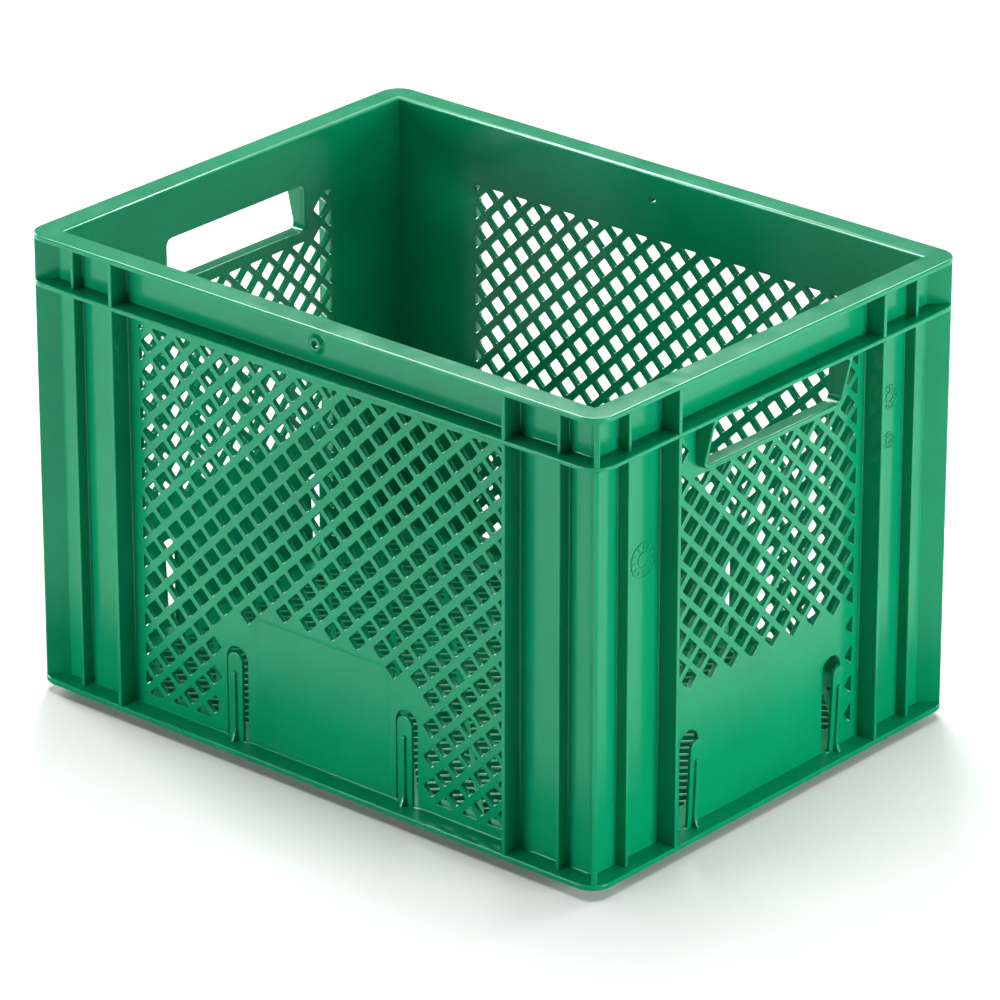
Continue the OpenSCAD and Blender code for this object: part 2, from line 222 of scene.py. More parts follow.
# ---------------------------------------------------------------- solid forms
class Form:
    """Closed shells gathered into one mesh, in millimetres."""

    def __init__(self):
        self.verts, self.faces = [], []

    def ring(self, pts, w, place):
        """Vertices for an outline at height w; gives their indices."""
        first = len(self.verts)
        self.verts += [place(x, y, w) for x, y in pts]
        return list(range(first, first + len(pts)))

    def skin(self, a, b):
        """Faces between two rings with the same number of vertices."""
        m = len(a)
        self.faces += [(a[i], a[(i + 1) % m], b[(i + 1) % m], b[i]) for i in range(m)]

    def cap(self, rings):
        """Triangles over the first ring, leaving the others open. A ring is (points, indices)."""
        pts, index, loops = [], [], []
        for p, ids in rings:
            loop = list(range(len(pts), len(pts) + len(p)))
            loops.append(loop if area(p) > 0 else loop[::-1])
            pts += [Vector(q) for q in p]
            index += ids
        if len(rings) == 1 and len(pts) <= 4:
            self.faces.append(tuple(index))
            return
        _, _, tris, origin, _, inside = delaunay_2d_cdt(pts, [], loops, 1, 1e-5)
        for tri, home in zip(tris, inside):
            if list(home) == [0]:
                self.faces.append(tuple(index[origin[k][0]] for k in tri))

    def plate(self, loops, place, hollow=None):
        """loops: (points, profile, free edges or None). The first runs anticlockwise and is the
        outside. hollow is (points, depth): a shallow field sunk into the upper face."""
        lower, upper = [], []
        for pts, profile, free in loops:
            free = free or [True] * len(pts)
            rings = []
            for d, w in profile:
                moved = inset(pts, [d if f else 0.0 for f in free])
                rings.append((moved, self.ring(moved, w, place)))
            for a, b in zip(rings, rings[1:]):
                self.skin(a[1], b[1])
            lower.append(rings[0])
            upper.append(rings[-1])
        top = loops[0][1][-1][1]
        self.cap(lower)
        if hollow:
            pts, depth = hollow
            wide = inset(pts, [-LABEL_SLOPE] * len(pts))
            a = (wide, self.ring(wide, top, place))
            b = (pts, self.ring(pts, top - depth, place))
            upper.append((list(reversed(a[0])), list(reversed(a[1]))))
            self.skin(a[1], b[1])
            self.cap([b])
        self.cap(upper)

    def sweep(self, path, section, place):
        """A closed section, as (inset, height) points, carried round a closed path."""
        rings = [self.ring(inset(path, [d] * len(path)), w, place) for d, w in section]
        for a, b in zip(rings, rings[1:] + rings[:1]):
            self.skin(a, b)


def hole(pts, t, low=EDGE, high=EDGE):
    """An opening for Form.plate: clockwise, rounded at both faces."""
    pts = list(reversed(pts)) if area(pts) > 0 else pts
    return (pts, edge_profile(t, low, high), None)


def make(name, nodes, body, form, material):
    """One piece of the crate, which stands for CAD nodes and rides on their body."""
    mesh = bpy.data.meshes.new(name)
    mesh.from_pydata([(x * MM, y * MM, z * MM) for x, y, z in form.verts], [], form.faces)
    bm = bmesh.new()
    bm.from_mesh(mesh)
    bmesh.ops.recalc_face_normals(bm, faces=bm.faces)
    bm.to_mesh(mesh)
    bm.free()
    mesh.shade_smooth()
    mesh.set_sharp_from_angle(angle=math.radians(50))
    obj = bpy.data.objects.new(name, mesh)
    bpy.context.scene.collection.objects.link(obj)
    weighted = obj.modifiers.new("even_shading", "WEIGHTED_NORMAL")
    weighted.keep_sharp = True
    weighted.weight = 100
    mesh.materials.append(material)
    if body:
        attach(obj, body)
    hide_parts(*nodes)
    return obj


# ---------------------------------------------------------------- where flat things go
def level(z):
    """A plan outline, with its underside at height z."""
    return lambda u, v, w: (u, v, z + w)


def front_place(s):
    """Across, up, outward on a long wall: s is -1 at the front and 1 at the back."""
    return lambda u, v, w: (u, s * (IN_Y + w), v)


def end_place(s):
    """The same on an end wall: s is -1 at the left and 1 at the right."""
    return lambda u, v, w: (s * (IN_X + w), u, v)


# ---------------------------------------------------------------- plastic
def node(tree, kind, **inputs):
    """A shader node whose inputs are given by name, as values or as other nodes' outputs."""
    n = tree.nodes.new(kind)
    for key, value in inputs.items():
        name = key.replace("_", " ")
        if hasattr(value, "is_output"):
            tree.links.new(value, n.inputs[name])
        else:
            n.inputs[name].default_value = value
    return n


def maths(tree, op, a, b=0.0, clamp=False):
    n = tree.nodes.new("ShaderNodeMath")
    n.operation, n.use_clamp = op, clamp
    for i, v in enumerate((a, b)):
        if hasattr(v, "is_output"):
            tree.links.new(v, n.inputs[i])
        else:
            n.inputs[i].default_value = v
    return n.outputs[0]


def noise(tree, where, scale, detail=3.0, rough=0.55):
    """Fractal noise from 0 to 1; the scale is in features per metre."""
    n = node(tree, "ShaderNodeTexNoise", Vector=where, Scale=scale, Detail=detail)
    n.inputs["Roughness"].default_value = rough
    return n.outputs["Fac"]


def ramp(tree, value, stops):
    """Colours, or plain numbers, between stops (position, colour)."""
    n = tree.nodes.new("ShaderNodeValToRGB")
    tree.links.new(value, n.inputs[0])
    while len(n.color_ramp.elements) < len(stops):
        n.color_ramp.elements.new(0.5)
    for e, (at, colour) in zip(n.color_ramp.elements, stops):
        e.position = at
        e.color = (*colour, 1) if hasattr(colour, "__len__") else (colour,) * 3 + (1,)
    return n.outputs[0]


def mixed(tree, share, a, b):
    """Colour a, with a share of colour b laid over it."""
    n = tree.nodes.new("ShaderNodeMix")
    n.data_type = "RGBA"
    for i, v in ((0, share), (6, a), (7, b)):
        if hasattr(v, "is_output"):
            tree.links.new(v, n.inputs[i])
        else:
            n.inputs[i].default_value = v if i == 0 else (*v, 1)
    return n.outputs[2]


GREEN = (0.0006, 0.232, 0.098)            # the plastic's own colour
PALE = (0.016, 0.330, 0.170)              # where it is rubbed
DEEP = (0.0003, 0.205, 0.084)             # in the clouds and streaks of its pigment


def plastic(name, scuff, rough):
    """Moulded polypropylene: flow marks, fine grain, drag lines, and scuffs on what sticks out."""
    m = bpy.data.materials.new(name)
    m.use_nodes = True
    t = m.node_tree
    t.nodes.clear()
    out = t.nodes.new("ShaderNodeOutputMaterial")
    shader = t.nodes.new("ShaderNodeBsdfPrincipled")
    t.links.new(shader.outputs[0], out.inputs[0])
    shader.inputs["IOR"].default_value = 1.49
    shader.inputs["Specular IOR Level"].default_value = 0.5
    shader.inputs["Specular Tint"].default_value = (0.62, 1.0, 0.9, 1)
    where = t.nodes.new("ShaderNodeTexCoord").outputs["Object"]

    # colour: slow clouds from the melt, faint pigment streaks, and a fine speckle
    clouds = noise(t, where, 14.0, 4.0)
    streak_map = node(t, "ShaderNodeMapping", Vector=where)
    streak_map.inputs["Scale"].default_value = (90, 90, 9)
    streaks = noise(t, streak_map.outputs[0], 1.0, 4.0)
    speck = noise(t, where, 2600.0, 2.0)
    colour = ramp(t, clouds, [(0.30, DEEP), (0.5, GREEN), (0.72, [c * 1.06 for c in GREEN])])
    colour = mixed(t, ramp(t, streaks, [(0.45, 0.0), (0.85, 0.16)]), colour, DEEP)
    colour = mixed(t, ramp(t, speck, [(0.62, 0.0), (0.8, 0.10)]), colour, PALE)

    # wear: pale rubbing on the outermost edges, and a few fine scratches
    split = t.nodes.new("ShaderNodeSeparateXYZ")
    t.links.new(where, split.inputs[0])
    x, y, z = split.outputs
    out_x = maths(t, "SUBTRACT", maths(t, "ABSOLUTE", x), HALF_L * MM)
    out_y = maths(t, "SUBTRACT", maths(t, "ABSOLUTE", y), HALF_W * MM)
    side = maths(t, "MAXIMUM", out_x, out_y)
    above = maths(t, "SUBTRACT", z, HEIGHT * MM)
    below = maths(t, "MULTIPLY", z, -1.0)
    near = maths(t, "MAXIMUM", side, maths(t, "MAXIMUM", above, below))
    reach, climb = 0.0016, 900.0          # from 1.6 mm inside the outermost planes, in metres
    rubbed = maths(t, "MULTIPLY", maths(t, "ADD", near, reach), climb, clamp=True)
    patches = ramp(t, noise(t, where, 55.0, 5.0, 0.7), [(0.50, 0.0), (0.68, 1.0)])
    wear = maths(t, "MULTIPLY", maths(t, "MULTIPLY", rubbed, patches), scuff, clamp=True)
    scratch_map = node(t, "ShaderNodeMapping", Vector=where)
    scratch_map.inputs["Rotation"].default_value = (0.4, 0.9, 0.3)
    scratch_map.inputs["Scale"].default_value = (30, 900, 900)
    lines = ramp(t, noise(t, scratch_map.outputs[0], 1.0, 2.0), [(0.70, 0.0), (0.76, 1.0)])
    lines = maths(t, "MULTIPLY", lines, ramp(t, noise(t, where, 30.0), [(0.5, 0.0), (0.7, 0.5)]))
    colour = mixed(t, wear, colour, PALE)
    t.links.new(colour, shader.inputs["Base Color"])

    # gloss: a satin skin, duller in clouds and where it is rubbed
    gloss = ramp(t, noise(t, where, 40.0, 5.0), [(0.3, rough - 0.03), (0.7, rough + 0.04)])
    gloss = maths(t, "ADD", gloss, maths(t, "MULTIPLY", wear, 0.35))
    gloss = maths(t, "ADD", gloss, maths(t, "MULTIPLY", lines, 0.10), clamp=True)
    t.links.new(gloss, shader.inputs["Roughness"])

    # relief: orange peel, spark-eroded grain, upright drag lines from the mould
    peel = noise(t, where, 220.0, 3.0)
    grain = noise(t, where, 1500.0, 2.0)
    drag_map = node(t, "ShaderNodeMapping", Vector=where)
    drag_map.inputs["Scale"].default_value = (700, 700, 14)
    drag = noise(t, drag_map.outputs[0], 1.0, 2.0)
    relief = maths(t, "ADD", maths(t, "MULTIPLY", peel, 0.5), maths(t, "MULTIPLY", grain, 0.22))
    relief = maths(t, "ADD", relief, maths(t, "MULTIPLY", drag, 0.25))
    relief = maths(t, "SUBTRACT", relief, maths(t, "MULTIPLY", lines, 0.3))
    bump = node(t, "ShaderNodeBump", Height=relief, Strength=0.35, Distance=0.00004)
    t.links.new(bump.outputs[0], shader.inputs["Normal"])
    return m


WALLS = plastic("green_plastic_walls", scuff=0.10, rough=0.17)
EDGES = plastic("green_plastic_rim", scuff=0.14, rough=0.18)
INSIDE = plastic("green_plastic_floor", scuff=0.20, rough=0.24)
UNDER = plastic("green_plastic_foot", scuff=0.70, rough=0.33)


# ---------------------------------------------------------------- lattice walls
def long_first(n):
    """The first open column in row n of a long wall, counted from the middle."""
    if n >= CLOSED_ROWS:
        return 0
    return SHOULDER_COL if n == CLOSED_ROWS - 1 else LABEL_COLS - n % 2


def row(n, first, last, bars, box):
    """The openings of lattice row n, from the first to the last column, cut off at a box."""
    rising, falling = bars
    out = []
    for c in range(-last, last + 1):
        if abs(c) >= first and (c + n) % 2 == 0:
            pts = clipped(turned(c * STEP, ROW_Z + n * STEP, DIAG - falling, DIAG - rising, 45), *box)
            if len(pts) > 2 and area(pts) > LEAST_HOLE:
                out.append(softened(pts, HOLE_R))
    return out


def notched(half, slot):
    """Outline of a wall panel with its two arched slots; True marks the edges that show."""
    pts, free = [(-half, BASE_Z)], []
    top = BASE_Z + SLOT_H - SLOT_W / 2
    for s in (-1, 1):
        pts += [(s * slot - SLOT_W / 2, BASE_Z)]
        free += [False]
        bend = arc(s * slot, top, SLOT_W / 2, 180, 0, 16)
        pts += bend + [(s * slot + SLOT_W / 2, BASE_Z)]
        free += [True] * (len(bend) + 1)
    pts.append((half, BASE_Z))
    free += [False, False]
    return pts, free


def long_wall(s, name):
    holes = []
    box = (-FIELD_X, ROW_Z, FIELD_X, LATTICE_TOP)
    for n in range(ROWS + 1):
        holes += row(n, long_first(n), int(FIELD_X / STEP) + 1, LONG_BARS, box)
    pts, free = notched(RIB_X, CLIP_X)
    pts += [(RIB_X, BAND_Z), (-RIB_X, BAND_Z)]
    free += [False, False]
    half, cut = LABEL_HALF, LABEL_CUT
    right = [(half, LABEL_LOW), (half, LABEL_HIGH - cut), (half - cut, LABEL_HIGH)]
    field = [(-half, LABEL_LOW)] + right + [(cut - half, LABEL_HIGH), (-half, LABEL_HIGH - cut)]
    form = Form()
    form.plate([(pts, edge_profile(WALL), free)] + [hole(h, WALL) for h in holes],
               front_place(s), hollow=(field, LABEL_DEPTH))
    return make(name + "_panel", [name], "crate", form, WALLS)


def end_wall(s, name):
    holes = []
    for n in range(ROWS + 1):
        if n >= CLOSED_ROWS:              # between the closed zone and the hand opening
            holes += row(n, 0, SIDE_COLS - 1, END_BARS, (-FIELD_Y, ROW_Z, FIELD_Y, STRIP_Z))
        first = SIDE_COLS if n >= CLOSED_ROWS else SIDE_COLS + 1
        holes += row(n, first, SIDE_COLS + 1, END_BARS, (-FIELD_Y, ROW_Z, FIELD_Y, LATTICE_TOP))
    pts, free = notched(RIB_Y, CLIP_Y)
    pts += [(RIB_Y, BAND_Z), (HANDLE_HALF, BAND_Z), (HANDLE_HALF, HANDLE_LOW),
            (-HANDLE_HALF, HANDLE_LOW), (-HANDLE_HALF, BAND_Z), (-RIB_Y, BAND_Z)]
    free += [False] * 6
    form = Form()
    form.plate([(pts, edge_profile(WALL), free)] + [hole(h, WALL) for h in holes], end_place(s))
    return make(name + "_panel", [name], "crate", form, WALLS)


# ---------------------------------------------------------------- hand openings
SEAM_Z = BAND_Z + 1.5                     # the handle and the band meet behind the flange


def lip_depth(z):
    """How far the collar stands out: shallow at its lip, flush with the flange above."""
    low = HAND_Z - LIP_T
    t = (z - low - 1) / (BAND_Z - low - 1)
    return LIP_OUT + (OVERHANG - LIP_OUT) * max(0.0, min(1.0, t))


def handle(s, name):
    """The wall round a hand opening, and the collar that stands out along its sides and lip."""
    form = Form()
    opening = rounded(HAND_HALF, 0, HAND_R, 8, HAND_Z, BAND_Z)
    form.plate([(rectangle(-HANDLE_HALF, HANDLE_LOW, HANDLE_HALF, SEAM_Z), edge_profile(WALL), [False] * 4),
                (list(reversed(opening)), edge_profile(WALL, 0.6, 0.0, 3), None)], end_place(s))
    # collar: a U whose ends are hidden in the flange, made of sections across its thickness
    x, r, out_r, n = HAND_HALF - HAND_R, HAND_R, COLLAR_T + HAND_R, 8
    low, tip = HAND_Z - LIP_T, BAND_Z + 0.8
    inner = [(x, tip)] + arc(x, BAND_Z - r, r, 90, 0, n) + arc(x, HAND_Z + r, r, 0, -90, n)
    outer = [(x + out_r, tip)] + [(x + out_r, BAND_Z - r * k / n) for k in range(n + 1)]
    outer += arc(x, low + out_r, out_r, 0, -90, n)
    inner += [(-a, b) for a, b in reversed(inner)]
    outer += [(-a, b) for a, b in reversed(outer)]
    soft, turns = 0.8, 4
    rings = []
    for (ix, iz), (ox, oz) in zip(inner, outer):
        span = math.dist((ix, iz), (ox, oz))
        ux, uz = (ix - ox) / span, (iz - oz) / span
        section = [(ox, oz, WALL - BURIED)]
        for k in range(turns + 1):
            a = math.pi / 2 * k / turns
            d = soft * (1 - math.cos(a))
            section.append((ox + ux * d, oz + uz * d, WALL + lip_depth(oz) - soft * (1 - math.sin(a))))
        for k in range(turns, -1, -1):
            a = math.pi / 2 * k / turns
            d = soft * (1 - math.cos(a))
            section.append((ix - ux * d, iz - uz * d, WALL + lip_depth(iz) - soft * (1 - math.sin(a))))
        section.append((ix, iz, WALL - BURIED))
        first = len(form.verts)
        form.verts += [(s * (IN_X + w), u, v) for u, v, w in section]
        rings.append(list(range(first, first + len(section))))
    for a, b in zip(rings, rings[1:]):
        form.skin(a, b)
    form.faces += [tuple(rings[0]), tuple(rings[-1])]
    return make(name + "_collar", [name], "crate", form, WALLS)


# ---------------------------------------------------------------- bands, corners, ribs
def long_band(s, name):
    form = Form()
    mid = (BAND_TOP + RIM_Z) / 2
    outline = rectangle(-RIB_X, BAND_Z, RIB_X, RIM_Z)
    seal = circle(0, mid, SEAL_R)
    form.plate([(outline, edge_profile(WALL), [False] * 4), hole(seal, WALL, 0.3, 0.0)],
               front_place(s))
    # seal boss: a low ring with soft shoulders round the hole, as (distance from the hole, height)
    boss = [(0.0, -BURIED), (0.0, 1.6), (0.12, 1.87), (0.4, 2.0), (1.45, 2.0), (1.8, 1.85),
            (2.05, 1.5), (2.9, 0.7), (3.6, 0.15), (4.3, -0.05), (4.3, -BURIED)]
    form.sweep(list(reversed(seal)), [(d, WALL + h) for d, h in boss], front_place(s))
    return make(name + "_panel", [name], "crate", form, WALLS)


def end_band(s, name):
    """The band of an end wall, cut back in the middle where the handle reaches up to it."""
    form = Form()
    h = HANDLE_HALF
    outline = [(-RIB_Y, BAND_Z), (-h, BAND_Z), (-h, SEAM_Z), (h, SEAM_Z), (h, BAND_Z),
               (RIB_Y, BAND_Z), (RIB_Y, RIM_Z), (-RIB_Y, RIM_Z)]
    form.plate([(outline, edge_profile(WALL), [False] * 8)], end_place(s))
    return make(name + "_panel", [name], "crate", form, WALLS)


def rib_section(t, d):
    """A rib in plan, standing on y = 0 and reaching to y = d, with fillets at its root."""
    h, tip, sink = t / 2, 0.55, 0.6
    right = [(h + FILLET, -sink)] + arc(h + FILLET, FILLET, FILLET, 270, 180, 6)
    right += arc(h - tip, d - tip, tip, 0, 90, 4)
    left = [(-x, y) for x, y in reversed(right)]
    return right + left


def corner(sx, sy, name):
    """Both wall ends, the rounded corner, and the diagonal rib, all carried upward."""
    form = Form()

    def standing(z):
        """A plan outline in this corner's quarter, with its underside at height z."""
        return lambda u, v, w: (sx * u, sy * v, z + w)

    turn = arc(WALL_X - WALL_R, WALL_Y - WALL_R, WALL_R, 0, 90, 12)
    outline = [(IN_X, RIB_Y), (WALL_X, RIB_Y)] + turn + [(RIB_X, WALL_Y), (RIB_X, IN_Y), (IN_X, IN_Y)]
    form.plate([(outline, edge_profile(RIM_Z - BASE_Z, 0, 0), None)], standing(BASE_Z))
    # diagonal rib, with fillets tangent to the rounded corner: across, and outward from its centre
    h, f, tip, short = CORNER_T / 2, 0.8, 0.8, 0.1
    reach = OUT_R - short + (HALF_L - OUT_R - WALL_X + WALL_R) * math.sqrt(2)
    up = math.sqrt((WALL_R + f) ** 2 - (h + f) ** 2)
    k = WALL_R / (WALL_R + f)
    low = math.degrees(math.atan2(-up, -(h + f))) + 360
    right = [(0.7 * k * (h + f), 0.7 * k * up)] + arc(h + f, up, f, low, 180, 5)
    right += arc(h - tip, reach - tip, tip, 0, 90, 5)
    both = right + [(-x, y) for x, y in reversed(right)]
    c = math.sqrt(0.5)
    rib = [(WALL_X - WALL_R + c * (y + x), WALL_Y - WALL_R + c * (y - x)) for x, y in both]
    if area(rib) < 0:
        rib.reverse()
    for lo, hi in ((BASE_Z, BAND_Z), (BAND_TOP, RIM_Z)):
        form.plate([(rib, edge_profile(hi - lo, 0, 0), None)], standing(lo))
    return make(name + "_post", [name], "crate", form, WALLS)


def ribs(name, spots):
    """spots: (place in plan, thickness, depth) for each upright rib."""
    form = Form()
    for spot, t, d in spots:
        section = rib_section(t, d)
        for lo, hi in ((BASE_Z, BAND_Z), (BAND_TOP, RIM_Z)):
            form.plate([(section, edge_profile(hi - lo, 0, 0), None)],
                       lambda u, v, w: (*spot(u, v), lo + w))
    return make(name + "_set", [name], "crate", form, WALLS)


def long_ribs(s, name):
    spots = []
    for at, t, d in ((RIB_X, FULL_T, OVERHANG), (HALF_RIB_X, HALF_T, HALF_D)):
        for m in (-1, 1):
            spots.append((lambda u, v, a=m * at: (a + u, s * (WALL_Y + v)), t, d))
    return ribs(name, spots)


def end_ribs(s, name):
    spots = []
    for at, t, d in ((RIB_Y, FULL_T, OVERHANG), (HALF_RIB_Y, HALF_T, HALF_D)):
        for m in (-1, 1):
            spots.append((lambda u, v, a=m * at: (s * (WALL_X + v), a + u), t, d))
    return ribs(name, spots)


# ---------------------------------------------------------------- rim, flanges, foot
def wall_loop():
    return rounded(WALL_X, WALL_Y, WALL_R, 8)


def fillet_ring(form, z, rising):
    """Fillet all round the walls, above or below a level face at height z."""
    section = arc(FILLET, FILLET, FILLET, 270, 180, 5)
    section += [(-BURIED, FILLET), (-BURIED, -BURIED), (FILLET, -BURIED)]
    up = 1 if rising else -1
    form.sweep(list(reversed(wall_loop())), [(d, up * h) for d, h in section], level(z))


def flange(name, z, t, ups, material):
    form = Form()
    form.plate([(rounded(HALF_L, HALF_W, OUT_R, 16), edge_profile(t, 0.6, 0.7, 3), None),
                (list(reversed(wall_loop())), edge_profile(t, 0, 0), None)], level(z))
    for up in ups:
        fillet_ring(form, z + (t if up else 0), up)
    return make(name + "_ring", [name], "crate", form, material)


def top_rim():
    form = Form()
    mouth = list(reversed(rectangle(-IN_X, -IN_Y, IN_X, IN_Y)))
    chamfer = [(0.0, 0.0), (0.0, 1.4), (0.14, 1.72), (1.32, 2.86), (1.75, 3.0)]
    form.plate([(rounded(HALF_L, HALF_W, OUT_R, 16), edge_profile(RIM_T, 0.6, 0.9, 4), None),
                (mouth, chamfer, None)], level(RIM_Z))
    fillet_ring(form, RIM_Z, False)
    return make("top_rim_ring", ["top_rim"], "crate", form, EDGES)


def foot():
    form = Form()
    x, y = IN_X - FOOT_GAP, IN_Y - FOOT_GAP
    inside = list(reversed(rectangle(FOOT_WALL - x, FOOT_WALL - y, x - FOOT_WALL, y - FOOT_WALL)))
    form.plate([(rounded(x, y, WALL_R, 8), edge_profile(FOOT_H, 0.9, 0, 3), None),
                (inside, edge_profile(FOOT_H, 0.5, 0, 2), None)], level(0))
    return make("stacking_foot_ring", ["stacking_foot"], "crate", form, UNDER)


def beams(name, boxes):
    form = Form()
    for box in boxes:
        form.plate([(rectangle(*box), edge_profile(BEAM_H, 0.4, 0), None)], level(BEAM_Z))
    return make(name + "_set", [name], "crate", form, UNDER)


def floor_plate():
    """A grille of thin slanting bars, tied by wider ones at right angles to them."""
    border, pitch, bar, cross, tie = 14.0, 8.0, 2.0, 33.0, 3.0
    open_x, open_y = IN_X - border, IN_Y - border
    reach = (open_x + open_y) / math.sqrt(2)
    lanes, bays = math.ceil(reach / pitch), math.ceil(reach / cross)
    c = math.sqrt(0.5)
    loops = [(wall_loop(), edge_profile(FLOOR_T, 0, 0), None)]
    for i in range(-bays, bays + 1):
        for j in range(-lanes, lanes + 1):
            u, v = i * cross, j * pitch
            pts = clipped(turned(c * (u - v), c * (u + v), cross - tie, pitch - bar, 45),
                          -open_x, -open_y, open_x, open_y)
            if len(pts) > 2 and area(pts) > LEAST_HOLE:
                loops.append(hole(softened(pts, 0.8), FLOOR_T, 0.3, 0.3))
    form = Form()
    form.plate(loops, level(FOOT_H))
    return make("floor_grille_plate", ["floor_grille"], "crate", form, INSIDE)


# ---------------------------------------------------------------- label clips
def clip(name, u, turn, kind):
    """A tongue that leans out, joined to the flange by a soft root that leans with it."""
    off, width, top, lean = kind
    form = Form()
    lean, a = math.radians(lean), math.radians(turn)
    root_z = BASE_Z + CLIP_GAP + CLIP_T / 2
    tall = top - CLIP_GAP - CLIP_T / 2

    def place(x, out, up):
        """x along the wall, out away from it, up the tongue, from the root line."""
        o = out * math.cos(lean) + up * math.sin(lean)
        z = -out * math.sin(lean) + up * math.cos(lean)
        px, py = u + x, -(off + o)
        return (px * math.cos(a) - py * math.sin(a), px * math.sin(a) + py * math.cos(a), root_z + z)

    # tongue: its root stands in the flange and widens there; rows of points run up its sides
    h, sunk, soft, levels = width / 2, 1.6, 0.9, 6
    low = -CLIP_GAP - CLIP_T / 2 - sunk
    knee = low + sunk + soft
    right = [(h + soft, low)] + arc(h + soft, knee, soft, 270, 180, 4)
    right += [(h, knee + (tall - h - knee) * k / levels) for k in range(1, levels)]
    outline = right + arc(0, tall - h, h, 0, 180, 16) + [(-x, y) for x, y in reversed(right)]
    form.plate([(outline, edge_profile(CLIP_T, 0.4, 0.5, 3), [True] * (len(outline) - 1) + [False])],
               lambda x, y, w: place(x, w - CLIP_T / 2, y))
    # rib on the outer face: a flared foot below, a round shoulder above
    inside, foot, foot_h, shoulder = 0.5, 2.4, 8.0, 1.4
    front = CLIP_T / 2 + CLIP_RIB_D
    r = (foot ** 2 + foot_h ** 2) / (2 * foot)
    end = math.degrees(math.asin(foot_h / r))
    start, head = foot_h - 0.3 * CLIP_T, tall - CLIP_HEAD
    profile = [(inside, low), (front + foot, low)] + arc(front + r, start, r, 180 + end, 180, 6)
    profile += [(front, start + (head - shoulder - 0.1 - start) * k / 4) for k in range(1, 4)]
    profile += arc(front - shoulder, head - shoulder, shoulder, 0, 90, 5) + [(inside, head)]
    free = [False] + [True] * (len(profile) - 2) + [False]
    form.plate([(profile, edge_profile(CLIP_RIB_T, 0.5, 0.5, 3), free)],
               lambda o, y, w: place(w - CLIP_RIB_T / 2, o, y))
    piece = make(name + "_tongue", [name], None, form, WALLS)
    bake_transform(piece)
    return piece


# ---------------------------------------------------------------- mould date dials
def dial(form, y, z, r):
    """Two raised rings with twelve plain ticks between them, on the right end wall."""
    rise, sunk = 0.4, 0.1
    t = rise + sunk

    def place(u, v, w):
        return (WALL_X - sunk + w, y + u, z + v)

    soft = edge_profile(t, 0, 0.14, 2)
    for big, wide in ((r, 0.8), (r * 0.45, 0.7)):
        form.plate([(circle(0, 0, big, 48), soft, None),
                    (list(reversed(circle(0, 0, big - wide, 48))), soft, None)], place)
    for k, (across, up) in enumerate(circle(0, 0, r * 0.725, 12)):
        tick = turned(across, up, r * 0.25, 0.6, 30 * k)
        form.plate([(tick, edge_profile(t, 0, 0.1, 1), None)], place)


def dials():
    form = Form()
    low = BASE_Z + 0.714 * (BAND_Z - BASE_Z)
    for y, z, r in ((51 - HALF_W, low, 10), (HALF_W - 45, low + 25, 7), (HALF_W - 45, low, 5)):
        dial(form, y, z, r)
    return make("mould_date_dials_relief", ["mould_date_dials"], "crate", form, WALLS)


# ---------------------------------------------------------------- build everything
for sign, side in ((-1, "front"), (1, "back")):
    long_wall(sign, side + "_lattice_wall")
    long_band(sign, side + "_band")
    long_ribs(sign, side + "_ribs")
    for sx, end in ((-1, "left"), (1, "right")):
        corner(sx, sign, side + "_" + end + "_corner")
for sign, side in ((-1, "left"), (1, "right")):
    end_wall(sign, side + "_lattice_wall")
    handle(sign, side + "_handle")
    end_band(sign, side + "_band")
    end_ribs(sign, side + "_ribs")
top_rim()
flange("band_flange", BAND_Z, BAND_T, (True, False), EDGES)
flange("base_flange", FOOT_H, FLOOR_T, (True,), EDGES)
floor_plate()
foot()
beams("floor_long_beams", [(-BEAM_X, y - BEAM_HALF, BEAM_X, y + BEAM_HALF) for y in (-BEAM_Y, BEAM_Y)])
bays = ((-BAY_Y, -BEAM_Y - BEAM_HALF), (-BEAM_Y + BEAM_HALF, BEAM_Y - BEAM_HALF),
        (BEAM_Y + BEAM_HALF, BAY_Y))      # between the foot and the long beams
beams("floor_cross_beams", [(x - BEAM_HALF, lo, x + BEAM_HALF, hi) for x in (-BEAM_X / 2, 0, BEAM_X / 2)
                            for lo, hi in bays])
dials()
for name, u, turn, kind in (
        ("front_left_clip", -CLIP_X, 0, LONG_CLIP), ("front_right_clip", CLIP_X, 0, LONG_CLIP),
        ("back_left_clip", CLIP_X, 180, LONG_CLIP), ("back_right_clip", -CLIP_X, 180, LONG_CLIP),
        ("left_front_clip", CLIP_Y, 270, END_CLIP), ("left_back_clip", -CLIP_Y, 270, END_CLIP),
        ("right_front_clip", -CLIP_Y, 90, END_CLIP), ("right_back_clip", CLIP_Y, 90, END_CLIP)):
    clip(name, u, turn, kind)


# ---------------------------------------------------------------- floor, light, camera
def studio_floor():
    """A plain pale floor. Far off it glows a little, so that it stays pale to the horizon."""
    bpy.ops.mesh.primitive_plane_add(size=24, location=(0, 0, -0.0002))
    ground = bpy.context.object
    ground.name = "studio_floor"
    m = bpy.data.materials.new("pale_floor")
    m.use_nodes = True
    t = m.node_tree
    shader = t.nodes["Principled BSDF"]
    shader.inputs["Base Color"].default_value = (0.92, 0.92, 0.92, 1)
    shader.inputs["Roughness"].default_value = 0.7
    shader.inputs["Specular IOR Level"].default_value = 0.2
    distance = t.nodes.new("ShaderNodeVectorMath")
    distance.operation = "LENGTH"
    t.links.new(t.nodes.new("ShaderNodeTexCoord").outputs["Object"], distance.inputs[0])
    # the ramp's positions are in tens of metres
    glow = ramp(t, maths(t, "MULTIPLY", distance.outputs["Value"], 0.1), [(0.13, 0.0), (0.35, 1.0)])
    t.links.new(glow, shader.inputs["Emission Color"])
    shader.inputs["Emission Strength"].default_value = 1.0
    ground.data.materials.append(m)


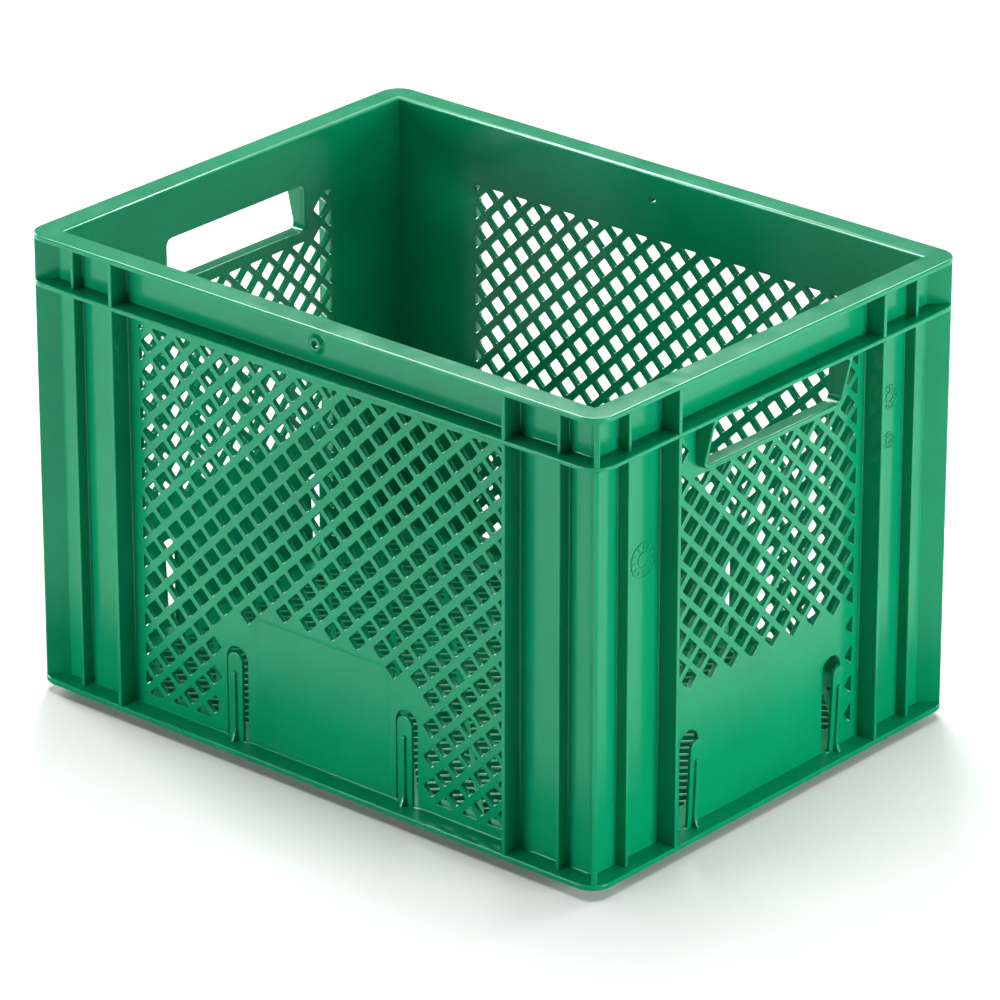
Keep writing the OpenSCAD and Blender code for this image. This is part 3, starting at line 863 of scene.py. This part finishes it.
def painted_reflection_card():
    """Painted reflection: a dark card round the crate, fading outwards, that only the gloss of the plastic
    sees, so the lower walls reflect the floor near the crate as if it lay in shade.
    """
    bpy.ops.mesh.primitive_plane_add(size=1.4, location=(0, 0, -0.0001))
    card = bpy.context.object
    card.name = "painted_reflection_card"
    card.visible_camera = card.visible_diffuse = card.visible_transmission = False
    card.visible_volume_scatter = card.visible_shadow = False
    m = bpy.data.materials.new("painted_dark_reflection")
    m.use_nodes = True
    t = m.node_tree
    t.nodes.clear()
    out = t.nodes.new("ShaderNodeOutputMaterial")
    mix = t.nodes.new("ShaderNodeMixShader")
    clear = t.nodes.new("ShaderNodeBsdfTransparent")
    # near-black colour of the painted reflection of shaded floor
    dark = node(t, "ShaderNodeBsdfDiffuse", Color=(0.004, 0.006, 0.005, 1))
    split = t.nodes.new("ShaderNodeSeparateXYZ")
    t.links.new(t.nodes.new("ShaderNodeTexCoord").outputs["Object"], split.inputs[0])
    far_x = maths(t, "SUBTRACT", maths(t, "ABSOLUTE", split.outputs[0]), HALF_L * MM)
    far_y = maths(t, "SUBTRACT", maths(t, "ABSOLUTE", split.outputs[1]), HALF_W * MM)
    far = maths(t, "MAXIMUM", far_x, far_y)
    fade = ramp(t, far, [(0.045, 1.0), (0.10, 0.0)])
    t.links.new(fade, mix.inputs[0])
    t.links.new(clear.outputs[0], mix.inputs[1])
    t.links.new(dark.outputs[0], mix.inputs[2])
    t.links.new(mix.outputs[0], out.inputs[0])
    card.data.materials.append(m)


def softbox(name, at, aim, size, power):
    """A rectangular area light at a point, aimed at another; metres and watts."""
    data = bpy.data.lights.new(name, "AREA")
    data.shape, data.size, data.size_y = "RECTANGLE", size[0], size[1]
    data.energy = power
    lamp = bpy.data.objects.new(name, data)
    bpy.context.scene.collection.objects.link(lamp)
    lamp.location = at
    lamp.rotation_euler = (Vector(aim) - Vector(at)).to_track_quat("-Z", "Y").to_euler()
    return lamp


studio_floor()
painted_reflection_card()
softbox("overhead", (0, 0, 1.6), (0, 0, 0.1), (1.4, 1.4), 23)
softbox("back_left", (-1.31, 1.53, 1.02), (0, 0, 0.15), (1.8, 0.9), 1.4)
softbox("high_back_left", (-1.0, 1.15, 1.55), (0, 0, 0.15), (0.6, 0.6), 20)
for strip in (softbox("edge_strip_left", (-1.05, 0.22, 1.6), (0, 0.22, 0.2), (0.95, 0.5), 45),
              softbox("edge_strip_back", (-0.23, 1.21, 1.45), (-0.23, 0, 0.2), (0.65, 0.5), 30)):
    strip.visible_diffuse = False         # only the gloss sees these, as thin lines along the edges
softbox("front_low", (-0.7, -1.8, 0.32), (0, 0, 0.13), (0.9, 0.4), 23)
softbox("right_low", (1.9, 0.25, 0.32), (0, 0, 0.13), (0.9, 0.4), 35)
softbox("left", (-1.9, 0.1, 0.8), (0, 0, 0.13), (0.7, 0.7), 28)
softbox("back", (0.5, 1.9, 0.8), (0, 0, 0.13), (0.7, 0.7), 11)

world = bpy.data.worlds.new("studio")
bpy.context.scene.world = world
world.use_nodes = True
background = world.node_tree.nodes["Background"]
background.inputs["Color"].default_value = (1, 1, 1, 1)
background.inputs["Strength"].default_value = 0.02
bpy.context.scene.view_settings.view_transform = "Standard"

# the camera is turned and pitched, not shifted, and looks at a point near the crate's middle
AZIMUTH, ELEVATION = math.radians(40.74), math.radians(23.74)
DISTANCE, LENS = 3.539, 236.2
BACK = Vector((math.sin(AZIMUTH) * math.cos(ELEVATION), -math.cos(AZIMUTH) * math.cos(ELEVATION),
               math.sin(ELEVATION)))
RIGHT = Vector((math.cos(AZIMUTH), math.sin(AZIMUTH), 0))
UP = BACK.cross(RIGHT)
target = Vector((0, 0, 0.1385)) + RIGHT * 0.00475 - UP * 0.01631
cam_data = bpy.data.cameras.new("photo_view")
cam_data.lens, cam_data.sensor_width = LENS, 36
cam_data.clip_start, cam_data.clip_end = 0.1, 100
camera = bpy.data.objects.new("photo_view", cam_data)
bpy.context.scene.collection.objects.link(camera)
camera.location = target + BACK * DISTANCE
camera.rotation_euler = BACK.to_track_quat("Z", "Y").to_euler()
bpy.context.scene.camera = camera
